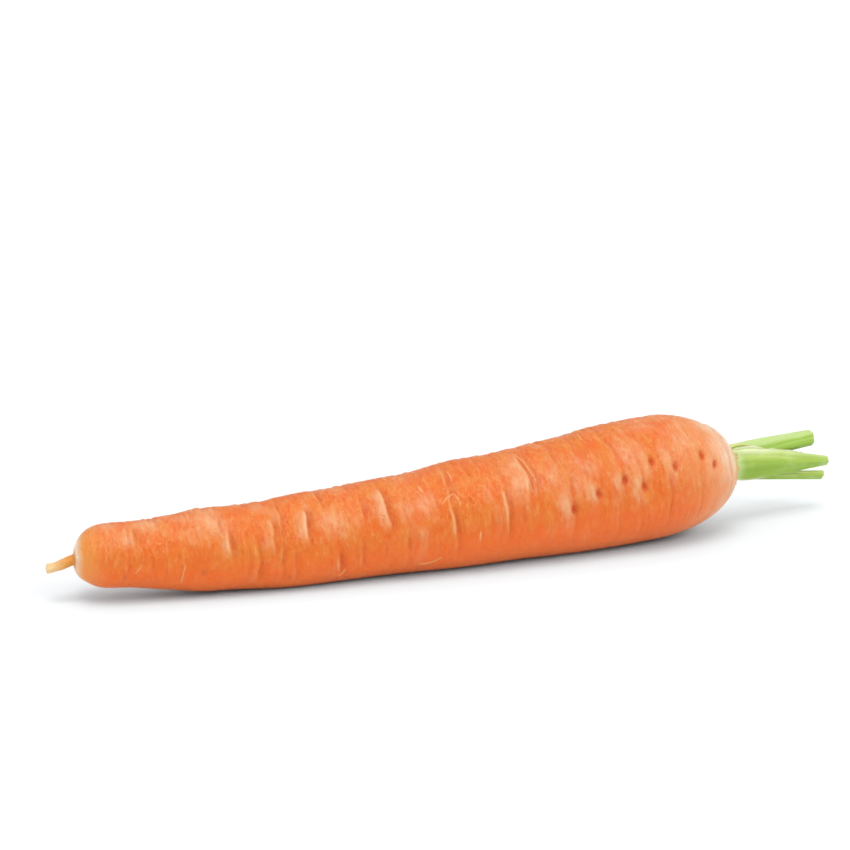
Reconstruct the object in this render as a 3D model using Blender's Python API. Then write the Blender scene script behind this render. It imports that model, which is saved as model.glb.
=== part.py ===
"""A carrot as dug and trimmed, lying on its side, with its leaf stalks cut short.

Metres, +Z up. +X runs from the thin tail to the crown. The origin is under the
middle of the whole carrot, on the surface that it lies on.
"""
import random
from math import cos, degrees, exp, pi, radians, sin, sqrt

import bmesh
import bpy
from mathutils import Vector

# Driving dimensions of the root
ROOT_LENGTH = 0.190
TIP_RADIUS = 0.0082
CROWN_RADIUS = 0.0171
TAPER_POWER = 0.80
TIP_LENGTH = 0.009
TIP_ROUNDNESS = (2.0, 0.40)
SHOULDER_LENGTH = 0.030
SHOULDER_ROUNDNESS = 2.3

# How it lies: bowed to the front, tip and crown a little off the surface, pressed flat below
SIDE_BOW = 0.006
TIP_HEIGHT = 0.0117
TIP_LIFT = 0.0013
TIP_LIFT_REACH = 0.042
CROWN_LIFT = 0.0007
CROWN_LIFT_PLACE = 0.168
CROWN_LIFT_REACH = 0.015
REST_BLEND = 0.0006
FLAT_DEPTH = 0.00055

# The tail
TAIL_LENGTH = 0.0072
TAIL_ROOT_RADIUS = 0.0015
TAIL_END_RADIUS = 0.0013
TAIL_DROOP = 0.0028
DROOP_START = 0.0040

# The crown's collar, and the shallow seat inside it where the leaf stalks stand
DOME_END_RADIUS = 0.0066
COLLAR_RADIUS = 0.0064
COLLAR_HEIGHT = 0.0005
SEAT_RADIUS = 0.0056
SEAT_DEPTH = 0.0012

# Swells of the outline: distance from the tip, reach along the root and height
SWELLS = (
    (0.008, 0.004, 0.0003),
    (0.015, 0.005, -0.0002),
    (0.033, 0.007, 0.0005),
    (0.055, 0.010, 0.0004),
    (0.084, 0.014, -0.0004),
    (0.120, 0.010, -0.0003),
)

# The deepest growth creases: distance from the tip, middle and half-reach in degrees, depth.
# Degrees count up from the front, so 90 is the top and -90 the underside.
CREASES = (
    (0.0150, 45, 32, 0.00050),
    (0.0395, 26, 28, 0.00045),
    (0.0465, -15, 50, 0.00035),
    (0.0510, 28, 28, 0.00050),
    (0.0603, 36, 30, 0.00065),
    (0.0680, -25, 28, 0.00035),
    (0.0755, 42, 28, 0.00055),
    (0.0820, 42, 36, 0.00055),
    (0.1000, 25, 70, 0.00040),
    (0.1140, 25, 55, 0.00040),
    (0.1215, 50, 40, 0.00045),
)
FAINT_CREASES = 44
FAINT_DEPTH = 0.00035
CREASE_START = 0.012
CREASE_END = 0.176
LIP_SHARE = 0.5

# Side-root scars of the front row: distance from the tip and degrees. Two more rows are behind.
SCARS = (
    (0.1320, 2),
    (0.1398, 14),
    (0.1479, 22),
    (0.1533, 12),
    (0.1567, 34),
    (0.1628, 24),
    (0.1716, 32),
    (0.1755, 22),
)
SCAR_ROWS = (112, 202)
SCAR_ROW_START = 0.045
SCAR_DEPTH = 0.00060
SCAR_WIDTH = 0.0016

# Slow unevenness of the surface
LUMP_HEIGHT = 0.00013
LUMP_LENGTH = 0.037

# The leaf stalks
STALK_GAP = 0.00035
STALK_RIBS = 6
RIB_SHARE = 0.05

# Mesh fineness
ROOT_SIDES = 40
RING_SPACING = 0.0019
SHOULDER_RINGS = 11
STALK_SIDES = 24
STALK_RINGS = 8
SHARP_ANGLE = 40


def clear_scene():
    """Take away whatever the scene holds."""
    for old in list(bpy.data.objects):
        bpy.data.objects.remove(old, do_unlink=True)


def make_material(name, colour, roughness):
    """A plain coloured surface."""
    material = bpy.data.materials.new(name)
    material.use_nodes = True
    shader = material.node_tree.nodes["Principled BSDF"]
    shader.inputs["Base Color"].default_value = (*colour, 1.0)
    shader.inputs["Roughness"].default_value = roughness
    shader.inputs["Metallic"].default_value = 0.0
    return material


def clamp(value):
    """Keep a value between 0 and 1."""
    return max(0.0, min(1.0, value))


def smooth(value):
    """Ease from 0 to 1."""
    value = clamp(value)
    return value * value * (3 - 2 * value)


def turn_between(angle, other):
    """Difference of two angles in degrees, between -180 and 180."""
    return (angle - other + 180) % 360 - 180


def taper(along):
    """Radius of the root between its tip and its shoulder, held past them."""
    straight = ROOT_LENGTH - SHOULDER_LENGTH - TIP_LENGTH
    share = clamp((along - TIP_LENGTH) / straight)
    return TIP_RADIUS + (CROWN_RADIUS - TIP_RADIUS) * share ** TAPER_POWER


def tail_radius(along):
    """Radius of the tail, which lies below zero and fades out inside the tip."""
    share = clamp(-along / TAIL_LENGTH)
    radius = TAIL_ROOT_RADIUS + (TAIL_END_RADIUS - TAIL_ROOT_RADIUS) * sqrt(share)
    return radius * clamp(1 - along / TIP_LENGTH)


def root_radius(along):
    """Radius of the smooth root at a distance from its tip."""
    radius = taper(along)
    for middle, reach, height in SWELLS:
        radius += height * exp(-((along - middle) / reach) ** 2)
    tip_share = clamp((TIP_LENGTH - along) / TIP_LENGTH)
    radius *= (1 - tip_share ** TIP_ROUNDNESS[0]) ** TIP_ROUNDNESS[1]
    shoulder_share = clamp((along - ROOT_LENGTH + SHOULDER_LENGTH) / SHOULDER_LENGTH)
    radius *= sqrt(1 - shoulder_share ** SHOULDER_ROUNDNESS)
    return (radius ** 3 + tail_radius(along) ** 3) ** (1 / 3)


def axis_point(along):
    """Point on the root's curved centreline."""
    share = 2 * along / ROOT_LENGTH - 1
    side = -SIDE_BOW * (1 - share * share)
    thick = taper(along)
    height = 0.5 * (thick + TIP_HEIGHT + sqrt((thick - TIP_HEIGHT) ** 2 + REST_BLEND ** 2))
    height += TIP_LIFT * clamp(1 - along / TIP_LIFT_REACH) ** 1.5
    height += CROWN_LIFT * exp(-((along - CROWN_LIFT_PLACE) / CROWN_LIFT_REACH) ** 2)
    return Vector((along, side, height - FLAT_DEPTH))


def axis_frame(along):
    """Centre of the root's cut across, and its forward, front and up directions."""
    step = 0.0005
    centre = axis_point(along)
    forward = (axis_point(along + step) - axis_point(along - step)).normalized()
    front = forward.cross(Vector((0, 0, 1))).normalized()
    centre.z -= TAIL_DROOP * smooth((DROOP_START - along) / (DROOP_START + TAIL_LENGTH))
    return centre, forward, front, front.cross(forward)


def all_creases(draw):
    """The deep creases and the faint ones, spread along and all round the root."""
    creases = list(CREASES)
    step = (CREASE_END - CREASE_START) / FAINT_CREASES
    for number in range(FAINT_CREASES):
        along = CREASE_START + step * (number + draw.random())
        middle = draw.uniform(-180, 180)
        reach = draw.uniform(25, 75)
        creases.append((along, middle, reach, FAINT_DEPTH * draw.uniform(0.5, 1.0)))
    return creases


def all_scars(draw):
    """The scars of the front row and of the rows behind, closer together near the crown."""
    scars = list(SCARS)
    for row in SCAR_ROWS:
        along = SCAR_ROW_START
        while along < CREASE_END:
            scars.append((along, row + draw.uniform(-12, 12)))
            along += draw.uniform(0.7, 1.3) * (0.016 - 0.055 * along)
    return scars


def relief(along, angle, creases, scars):
    """How far the skin stands out from the smooth root, at a distance and an angle in degrees."""
    turn = radians(angle)
    height = LUMP_HEIGHT * sin(2 * pi * along / LUMP_LENGTH + turn)
    height += LUMP_HEIGHT * sin(2 * pi * along / (0.6 * LUMP_LENGTH) - 2 * turn + 1)
    for place, middle, reach, depth in creases:
        off = (along - place) / RING_SPACING
        around = clamp(1 - (turn_between(angle, middle) / reach) ** 2)
        height += depth * around * (LIP_SHARE * exp(-3 * (off + 1) ** 2) - exp(-3 * off ** 2))
    for place, middle in scars:
        off = (along - place) / (0.6 * RING_SPACING)
        around = radians(turn_between(angle, middle)) * taper(along) / SCAR_WIDTH
        height -= SCAR_DEPTH * exp(-off ** 2 - around ** 2)
    underside = smooth((70 - abs(turn_between(angle, -90))) / 30)
    ends = smooth(along / 0.02) * smooth((ROOT_LENGTH - along) / 0.018)
    return height * ends * (1 - underside)


def root_stations():
    """Distance from the tip and radius of each ring of the root, from the tail to its seat."""
    alongs = [share * TAIL_LENGTH for share in (-1, -0.97, -0.8, -0.6, -0.4, -0.2, -0.07)]
    alongs += [TIP_LENGTH * share ** 2 for share in (0, 0.2, 0.35, 0.5, 0.65, 0.8, 0.92)]
    shoulder = ROOT_LENGTH - 0.55 * SHOULDER_LENGTH
    rings = round((shoulder - TIP_LENGTH) / RING_SPACING)
    alongs += [TIP_LENGTH + (shoulder - TIP_LENGTH) * ring / rings for ring in range(rings)]
    dome_share = (1 - (DOME_END_RADIUS / CROWN_RADIUS) ** 2) ** (1 / SHOULDER_ROUNDNESS)
    dome_end = ROOT_LENGTH - SHOULDER_LENGTH * (1 - dome_share)
    for ring in range(SHOULDER_RINGS):
        share = sin(0.5 * pi * ring / (SHOULDER_RINGS - 1))
        alongs.append(shoulder + (dome_end - shoulder) * share)
    stations = [(along, root_radius(along)) for along in alongs]
    rim = dome_end + COLLAR_HEIGHT
    stations.append((dome_end + 0.6 * COLLAR_HEIGHT, COLLAR_RADIUS))
    stations.append((rim, 0.5 * (COLLAR_RADIUS + SEAT_RADIUS)))
    stations.append((rim - 0.4 * COLLAR_HEIGHT, SEAT_RADIUS))
    stations.append((rim - SEAT_DEPTH, SEAT_RADIUS))
    return stations


def close_grid(mesh):
    """Join a rolled-up grid along its seam and close both of its ends."""
    bmesh.ops.remove_doubles(mesh, verts=mesh.verts, dist=1e-6)
    bmesh.ops.holes_fill(mesh, edges=mesh.edges)
    bmesh.ops.recalc_face_normals(mesh, faces=mesh.faces)


def build_root(stations):
    """The whole root as one closed mesh, cut flat where it lies on the surface."""
    draw = random.Random(11)
    last = len(stations) - 1

    def on_ring(along):
        """The ring nearest to a distance from the tip."""
        return min((station[0] for station in stations), key=lambda place: abs(place - along))

    creases = [(on_ring(along), *rest) for along, *rest in all_creases(draw)]
    scars = [(on_ring(along), middle) for along, middle in all_scars(draw)]
    mesh = bmesh.new()
    bmesh.ops.create_grid(mesh, x_segments=last, y_segments=ROOT_SIDES, size=1)
    for vert in mesh.verts:
        along, radius = stations[round((vert.co.x + 1) / 2 * last)]
        angle = (vert.co.y + 1) * pi
        centre, forward, front, up = axis_frame(along)
        radius += relief(along, degrees(angle), creases, scars)
        vert.co = centre + radius * (cos(angle) * front + sin(angle) * up)
    close_grid(mesh)
    everything = mesh.verts[:] + mesh.edges[:] + mesh.faces[:]
    bmesh.ops.bisect_plane(mesh, geom=everything, dist=1e-6, plane_co=(0, 0, 0),
                           plane_no=(0, 0, -1), clear_outer=True)
    bmesh.ops.holes_fill(mesh, edges=[edge for edge in mesh.edges if edge.is_boundary])
    bmesh.ops.recalc_face_normals(mesh, faces=mesh.faces)
    return mesh


def stalk_section(angle, thickness, width, channel):
    """Point on a stalk's cut across: outward and sideways, hollowed on its inner side."""
    rib = 1 + RIB_SHARE * cos(STALK_RIBS * angle) * smooth(cos(angle) + 0.6)
    outward = 0.5 * thickness * cos(angle) * rib
    if outward < 0:
        outward *= 1 - channel * cos(angle) ** 2
    return outward, 0.5 * width * sin(angle) * rib


def build_stalk(seat, base, end, length, base_size, end_size, sheath, facing, channel, cut):
    """A leaf stalk from the crown's seat to its slanted cut end.

    base and end are places across the crown: towards the front, then up. Sizes are a
    thickness and a width, and sheath widens the stalk near its base. facing is where its
    outer side looks, in degrees up from the front.
    """
    centre, forward, front, up = seat
    facing = radians(facing)
    mesh = bmesh.new()
    bmesh.ops.create_grid(mesh, x_segments=STALK_RINGS, y_segments=STALK_SIDES, size=1)
    for vert in mesh.verts:
        share = (vert.co.x + 1) / 2
        angle = (vert.co.y + 1) * pi
        thickness = base_size[0] + (end_size[0] - base_size[0]) * share
        width = base_size[1] + (end_size[1] - base_size[1]) * share
        width += sheath * sin(pi * sqrt(share))
        outward, sideways = stalk_section(angle, thickness, width, channel * share)
        off_front = outward * cos(facing) - sideways * sin(facing)
        off_up = outward * sin(facing) + sideways * cos(facing)
        place = centre + (base[0] + (end[0] - base[0]) * share + off_front) * front
        place += (base[1] + (end[1] - base[1]) * share + off_up) * up
        place += (STALK_GAP + (length - STALK_GAP) * share + cut * share ** 2 * off_up) * forward
        vert.co = place
    close_grid(mesh)
    return mesh


def build_stalks(seat, whole):
    """The five leaf stalks, each with its own material."""
    finish("petiole_middle", build_stalk(
        seat, base=(0.0025, 0.0014), end=(0.0016, -0.0013), length=0.0342,
        base_size=(0.0030, 0.0060), end_size=(0.0026, 0.0026), sheath=0.0036,
        facing=0, channel=0.7, cut=0.05),
        make_material("stalk_green", (0.40, 0.56, 0.12), 0.45), whole)
    finish("petiole_upper", build_stalk(
        seat, base=(-0.0018, 0.0028), end=(-0.0027, 0.0045), length=0.0313,
        base_size=(0.0026, 0.0034), end_size=(0.0042, 0.0046), sheath=0.0022,
        facing=50, channel=0.6, cut=0.05),
        make_material("stalk_pale_green", (0.50, 0.62, 0.22), 0.45), whole)
    finish("petiole_lower", build_stalk(
        seat, base=(-0.0018, -0.0026), end=(-0.0002, -0.0058), length=0.0338,
        base_size=(0.0026, 0.0036), end_size=(0.0028, 0.0036), sheath=0.0,
        facing=-60, channel=0.6, cut=0.15),
        make_material("stalk_deep_green", (0.36, 0.50, 0.09), 0.45), whole)
    finish("petiole_back", build_stalk(
        seat, base=(-0.0041, -0.0011), end=(-0.0048, -0.0008), length=0.0300,
        base_size=(0.0012, 0.0020), end_size=(0.0011, 0.0018), sheath=0.0,
        facing=180, channel=0.3, cut=0.40),
        make_material("stalk_yellow_green", (0.62, 0.62, 0.22), 0.5), whole)
    finish("petiole_stub", build_stalk(
        seat, base=(0.0004, 0.0051), end=(0.0004, 0.0058), length=0.0094,
        base_size=(0.0009, 0.0018), end_size=(0.0007, 0.0012), sheath=0.0,
        facing=95, channel=0.3, cut=0.30),
        make_material("stalk_dry", (0.48, 0.40, 0.14), 0.7), whole)


def finish(name, mesh, material, parent):
    """Turn a bmesh into a named, smooth shaded object."""
    data = bpy.data.meshes.new(name)
    mesh.to_mesh(data)
    mesh.free()
    data.shade_smooth()
    data.set_sharp_from_angle(angle=radians(SHARP_ANGLE))
    data.materials.append(material)
    made = bpy.data.objects.new(name, data)
    made.parent = parent
    bpy.context.collection.objects.link(made)


def build_carrot():
    """The root and its leaf stalks, with the origin under the middle of them all."""
    whole = bpy.data.objects.new("carrot", None)
    bpy.context.collection.objects.link(whole)
    stations = root_stations()
    skin = make_material("carrot_skin", (0.87, 0.22, 0.045), 0.5)
    finish("taproot", build_root(stations), skin, whole)
    build_stalks(axis_frame(stations[-1][0]), whole)
    corners = [vert.co for piece in whole.children for vert in piece.data.vertices]
    for side in (0, 1):
        reach = [corner[side] for corner in corners]
        whole.location[side] = -0.5 * (min(reach) + max(reach))


clear_scene()
build_carrot()
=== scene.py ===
# %% [markdown]
# # A carrot, finished for the camera
#
# The solids of this carrot give its length, its thickness and how its leaf stalks stand. A real
# one is known by its skin: creases where growth stopped and went on, small pits where side roots
# grew, a satin shine, and a colour that pales towards the crown and the tip. This file grows that
# skin over the solids, in their own frame. All is in metres, +X runs from the tail to the crown,
# and +Z is up.

# %% Load the solids
import random
from math import cos, radians, sin

import bmesh
import bpy
import numpy as np
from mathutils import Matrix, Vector, noise


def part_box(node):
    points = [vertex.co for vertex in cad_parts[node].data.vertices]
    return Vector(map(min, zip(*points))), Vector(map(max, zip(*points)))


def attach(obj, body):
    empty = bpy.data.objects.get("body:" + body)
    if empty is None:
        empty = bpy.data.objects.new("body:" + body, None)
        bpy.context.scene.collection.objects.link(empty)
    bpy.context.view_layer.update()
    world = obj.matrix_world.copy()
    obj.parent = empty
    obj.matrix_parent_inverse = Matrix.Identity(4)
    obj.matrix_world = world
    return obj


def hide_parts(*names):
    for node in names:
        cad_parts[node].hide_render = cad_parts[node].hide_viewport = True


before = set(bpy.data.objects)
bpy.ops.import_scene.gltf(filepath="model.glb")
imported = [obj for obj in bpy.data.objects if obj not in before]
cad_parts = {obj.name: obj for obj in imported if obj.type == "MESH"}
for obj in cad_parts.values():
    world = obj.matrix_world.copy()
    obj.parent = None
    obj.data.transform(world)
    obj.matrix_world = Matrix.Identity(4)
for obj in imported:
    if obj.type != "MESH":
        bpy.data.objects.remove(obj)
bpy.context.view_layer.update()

print("solids:", ", ".join(sorted(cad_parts)))

# %% [markdown]
# ## The camera
#
# A long lens from almost a metre away keeps the carrot's taper true, where a short one would make
# the near end swell. The camera stands towards the tip end and a little above the carrot, so the
# view runs up the root to the crown. It is placed by its direction and by the point that falls in
# the middle of the picture, which is easier to correct than three turns.

# %% Set up the camera
CAMERA_AZIMUTH = radians(-22)
CAMERA_ELEVATION = radians(15)
CAMERA_DISTANCE = 0.9
CAMERA_LENS = 142.48
MIDDLE_FROM_TAIL = Vector((0.10572, 0.02135, 0.03768))
PICTURE_MIDDLE = Vector(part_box("taproot")[0]) + MIDDLE_FROM_TAIL

towards_camera = Vector((
    sin(CAMERA_AZIMUTH) * cos(CAMERA_ELEVATION),
    -cos(CAMERA_AZIMUTH) * cos(CAMERA_ELEVATION),
    sin(CAMERA_ELEVATION),
))
camera = bpy.data.objects.new("camera", bpy.data.cameras.new("camera"))
camera.data.lens = CAMERA_LENS
camera.location = PICTURE_MIDDLE + CAMERA_DISTANCE * towards_camera
camera.rotation_euler = towards_camera.to_track_quat("Z", "Y").to_euler()
bpy.context.collection.objects.link(camera)
bpy.context.scene.camera = camera
print("camera at", [round(part, 3) for part in camera.location])

# %% [markdown]
# ## Placing shader nodes
#
# Every finish here is a small net of shader nodes. One helper places a node, sets its own
# settings and fills its sockets: a socket takes either a number or what another node puts out.
# Others mix two colours, multiply two masks or read a layer of the mesh. The one that mixes uses
# numbers for its sockets, because that node hides its colour sockets behind others with the same
# names. Colours are given as they look on a screen, from 0 to 255, and are turned into the
# linear values that shaders work in.

# %% Helpers for materials
def colour(red, green, blue):
    """A screen colour, 0 to 255, as the linear colour of a shader."""
    parts = [part / 255 for part in (red, green, blue)]
    return tuple(part / 12.92 if part < 0.04045 else ((part + 0.055) / 1.055) ** 2.4
                 for part in parts) + (1.0,)


def fill(tree, node, sockets):
    """Fill a node's input sockets, each with a value or with what another node puts out."""
    for name, value in sockets.items():
        if isinstance(value, bpy.types.NodeSocket):
            tree.links.new(value, node.inputs[name])
        else:
            node.inputs[name].default_value = value


def place(tree, kind, sockets=None, **settings):
    """A new node with its settings, and its input sockets filled by name or number."""
    made = tree.nodes.new("ShaderNode" + kind)
    for name, value in settings.items():
        setattr(made, name, value)
    fill(tree, made, sockets or {})
    return made


def mix(tree, share, first, second):
    """A colour between two others."""
    return place(tree, "Mix", {0: share, 6: first, 7: second}, data_type="RGBA").outputs[2]


def paint_over(tree, tone, layers):
    """Lay colours over a first one, each by its own mask, from the lowest to the top one."""
    for share, paint in layers:
        tone = mix(tree, share, tone, paint)
    return tone


def times(tree, first, second):
    """The product of two values, kept between 0 and 1."""
    sockets = {0: first, 1: second}
    return place(tree, "Math", sockets, operation="MULTIPLY", use_clamp=True).outputs[0]


def between(tree, value, low, high):
    """How far a value is on its way from low to high, eased."""
    sockets = {"Value": value, "From Min": low, "From Max": high}
    return place(tree, "MapRange", sockets, interpolation_type="SMOOTHSTEP").outputs[0]


def mask(tree, name):
    """A value that the mesh carries from its making."""
    return place(tree, "Attribute", attribute_name=name).outputs["Fac"]


def bump(tree, height, strength, distance, **under):
    """A normal that leans with a height, over another one if it is given as Normal."""
    sockets = {"Height": height, "Strength": strength, "Distance": distance, **under}
    return place(tree, "Bump", sockets).outputs[0]


def new_material(name):
    """An empty material, with its tree and its shader."""
    made = bpy.data.materials.new(name)
    made.use_nodes = True
    return made, made.node_tree, made.node_tree.nodes["Principled BSDF"]


print("helpers ready")

# %% [markdown]
# ## Noise that grows with the plant
#
# Every finish of this carrot has a fine grain, and on most pieces it runs along them. A noise
# texture gives it, read at the coordinates that each mesh carries from its making and stretched
# more one way than the other. Each of the carrot's materials needs it, so it is a group of nodes,
# built once, that each places with a stretch, detail and roughness of its own.

# %% Build the grown noise
def new_group(name, sockets):
    """An empty group of nodes, with the nodes for what it is given and puts out."""
    group = bpy.data.node_groups.new(name, "ShaderNodeTree")
    for label, kind, way in sockets:
        group.interface.new_socket(label, in_out=way, socket_type="NodeSocket" + kind)
    return group, group.nodes.new("NodeGroupInput").outputs, group.nodes.new("NodeGroupOutput")


grown_noise, given, put_out = new_group("grown_noise", (
    ("Stretch", "Vector", "INPUT"), ("Detail", "Float", "INPUT"),
    ("Roughness", "Float", "INPUT"), ("Value", "Float", "OUTPUT")))
grown = place(grown_noise, "Attribute", attribute_name="grown").outputs["Vector"]
scaled = place(grown_noise, "Mapping", {"Vector": grown, "Scale": given["Stretch"]}).outputs[0]
texture = place(grown_noise, "TexNoise", {"Vector": scaled, "Scale": 1.0, "Detail": given["Detail"],
                                          "Roughness": given["Roughness"]})
fill(grown_noise, put_out, {"Value": texture.outputs["Fac"]})


def stretched_noise(tree, stretch, detail, rough):
    """The grown noise, placed with values of its own."""
    sockets = {"Stretch": stretch, "Detail": detail, "Roughness": rough}
    return place(tree, "Group", sockets, node_tree=grown_noise).outputs["Value"]


print("grown noise has", len(grown_noise.nodes), "nodes")

# %% [markdown]
# ## Floor and light
#
# The carrot lies on a plain white surface in soft studio light. The sky is white and brightest
# overhead, like a wide lamp above the table, so it leaves a soft dark shadow close to the root
# and doesn't whiten the top edge. A broad lamp hangs high above, a little to the left and to the
# front. It lights every crease from its tip side, so each one shows a bright lip and a dark
# groove. A second one, lower at the front right, puts a satin shine on the flank. Both are far
# off, so the floor is as bright in the distance as it is near. Colours go to the screen
# unchanged, because a film-like curve would turn the orange dull.

# %% Set up the floor, the sky and the lamps
FLOOR_REACH = 6.0
FLOOR_SQUARES = 8
FLOOR_PAINT = (0.90, 0.92, 0.93, 1.0)
SKY_LOW = 0.34
SKY_HIGH = 1.04
WHITE = (1.0, 1.0, 1.0, 1.0)
# A lamp's name, its direction from the carrot, its width in degrees and its strength
LAMPS = (
    ("key", (-0.15, -0.31, 0.97), 36, 0.94),
    ("gloss", (0.36, -0.60, 0.58), 24, 0.54),
)

bpy.context.scene.view_settings.view_transform = "Standard"

mesh = bmesh.new()
bmesh.ops.create_grid(mesh, x_segments=FLOOR_SQUARES, y_segments=FLOOR_SQUARES, size=FLOOR_REACH)
floor_data = bpy.data.meshes.new("floor")
mesh.to_mesh(floor_data)
mesh.free()
floor = bpy.data.objects.new("floor", floor_data)
bpy.context.collection.objects.link(floor)
floor_paint, tree, shader = new_material("white_surface")
fill(tree, shader, {"Base Color": FLOOR_PAINT, "Roughness": 0.9, "Specular IOR Level": 0.1})
floor_data.materials.append(floor_paint)

sky = bpy.data.worlds.new("sky")
sky.use_nodes = True
tree = sky.node_tree
tree.nodes.clear()
seen = place(tree, "LightPath").outputs["Is Camera Ray"]
way = place(tree, "TexCoord").outputs["Generated"]
high = place(tree, "SeparateXYZ", {"Vector": way}).outputs["Z"]
power = place(tree, "MapRange", {"Value": high, "To Min": SKY_LOW, "To Max": SKY_HIGH}).outputs[0]
light = place(tree, "Background", {"Color": WHITE, "Strength": power})
backdrop = place(tree, "Background", {"Color": WHITE, "Strength": 1.0})
both = place(tree, "MixShader", {0: seen, 1: light.outputs[0], 2: backdrop.outputs[0]})
place(tree, "OutputWorld", {"Surface": both.outputs[0]})
bpy.context.scene.world = sky

for name, spot, spread, power in LAMPS:
    lamp = bpy.data.lights.new(name, "SUN")
    lamp.angle = radians(spread)
    lamp.energy = power
    hung = bpy.data.objects.new(name, lamp)
    hung.location = spot
    hung.rotation_euler = Vector(spot).to_track_quat("Z", "Y").to_euler()
    bpy.context.collection.objects.link(hung)
print("lamps:", ", ".join(lamp[0] for lamp in LAMPS))

# %% [markdown]
# ## The root's smooth form
#
# A carrot is a body of revolution that grew a little crooked. Its radius follows a taper with
# slow swells, closed by a blunt tip and a round shoulder. Its centreline bows to the front and
# sinks until the root rests on the surface. These are the formulas of the solid, with the same
# values. They take whole arrays of places at once, because the fine skin has a hundred thousand
# points.

# %% Formulas of the smooth root
ROOT_LENGTH = 0.190
TIP_RADIUS = 0.0082
CROWN_RADIUS = 0.0171
TAPER_POWER = 0.80
TIP_LENGTH = 0.009
TIP_ROUNDNESS = (2.0, 0.40)
SHOULDER_LENGTH = 0.030
SHOULDER_ROUNDNESS = 2.3
SIDE_BOW = 0.006
TIP_HEIGHT = 0.0117
TIP_LIFT = 0.0013
TIP_LIFT_REACH = 0.042
CROWN_LIFT = 0.0007
CROWN_LIFT_PLACE = 0.168
CROWN_LIFT_REACH = 0.015
REST_BLEND = 0.0006
FLAT_DEPTH = 0.00055
TAIL_LENGTH = 0.0072
TAIL_ROOT_RADIUS = 0.0015
TAIL_END_RADIUS = 0.0013
TAIL_DROOP = 0.0028
DROOP_START = 0.0040
# A swell's place along the root, its reach and its height
SWELLS = (
    (0.008, 0.004, 0.0003),
    (0.015, 0.005, -0.0002),
    (0.033, 0.007, 0.0005),
    (0.055, 0.010, 0.0004),
    (0.084, 0.014, -0.0004),
    (0.120, 0.010, -0.0003),
)


def clamp(value):
    """Keep values between 0 and 1."""
    return np.clip(value, 0.0, 1.0)


def smooth(value):
    """Ease from 0 to 1."""
    value = clamp(value)
    return value * value * (3 - 2 * value)


def turn_between(angle, other):
    """Difference of two angles in degrees, between -180 and 180."""
    return (angle - other + 180) % 360 - 180


def taper(along):
    """Radius of the root between its tip and its shoulder, held past them."""
    straight = ROOT_LENGTH - SHOULDER_LENGTH - TIP_LENGTH
    share = clamp((along - TIP_LENGTH) / straight)
    return TIP_RADIUS + (CROWN_RADIUS - TIP_RADIUS) * share ** TAPER_POWER


def tail_radius(along):
    """Radius of the tail, which fades out inside the tip."""
    share = clamp(-along / TAIL_LENGTH)
    radius = TAIL_ROOT_RADIUS + (TAIL_END_RADIUS - TAIL_ROOT_RADIUS) * np.sqrt(share)
    return radius * clamp(1 - along / TIP_LENGTH)


def root_radius(along):
    """Radius of the smooth root at a distance from its tip."""
    radius = taper(along)
    for middle, reach, height in SWELLS:
        radius = radius + height * np.exp(-((along - middle) / reach) ** 2)
    tip_share = clamp((TIP_LENGTH - along) / TIP_LENGTH)
    radius = radius * (1 - tip_share ** TIP_ROUNDNESS[0]) ** TIP_ROUNDNESS[1]
    shoulder_share = clamp((along - ROOT_LENGTH + SHOULDER_LENGTH) / SHOULDER_LENGTH)
    radius = radius * np.sqrt(1 - shoulder_share ** SHOULDER_ROUNDNESS)
    return (radius ** 3 + tail_radius(along) ** 3) ** (1 / 3)


def axis_point(along):
    """Points on the root's curved centreline."""
    share = 2 * along / ROOT_LENGTH - 1
    side = -SIDE_BOW * (1 - share * share)
    thick = taper(along)
    height = 0.5 * (thick + TIP_HEIGHT + np.sqrt((thick - TIP_HEIGHT) ** 2 + REST_BLEND ** 2))
    height = height + TIP_LIFT * clamp(1 - along / TIP_LIFT_REACH) ** 1.5
    height = height + CROWN_LIFT * np.exp(-((along - CROWN_LIFT_PLACE) / CROWN_LIFT_REACH) ** 2)
    return np.stack([along, side, height - FLAT_DEPTH], axis=-1)


def to_length_one(arrows):
    """Arrows of the same directions, each one long."""
    return arrows / np.linalg.norm(arrows, axis=-1, keepdims=True)


def axis_frame(along):
    """Centres of the root's cuts across, and their forward, front and up directions."""
    step = 0.0005
    forward = to_length_one(axis_point(along + step) - axis_point(along - step))
    front = to_length_one(np.cross(forward, (0.0, 0.0, 1.0)))
    centre = axis_point(along)
    centre[..., 2] -= TAIL_DROOP * smooth((DROOP_START - along) / (DROOP_START + TAIL_LENGTH))
    return centre, forward, front, np.cross(front, forward)


print("root:", round(2000 * float(root_radius(np.array(0.16))), 1), "mm thick near the crown")

# %% [markdown]
# ## The leaf stalks' form
#
# A carrot's leaf stalk is ribbed on its outer side and hollowed like a gutter on its inner side,
# and near the crown it widens into a thin sheath. Each stalk here runs from a place in the
# crown's seat to a slanted cut. Its base and its end are given by how far they lie to the front
# and up in the seat, and both have a thickness and a width. The side that it turns outwards is an
# angle in degrees. The formula is again that of the solids, so one of their boxes says how far
# the whole carrot was moved to stand over the origin.

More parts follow.
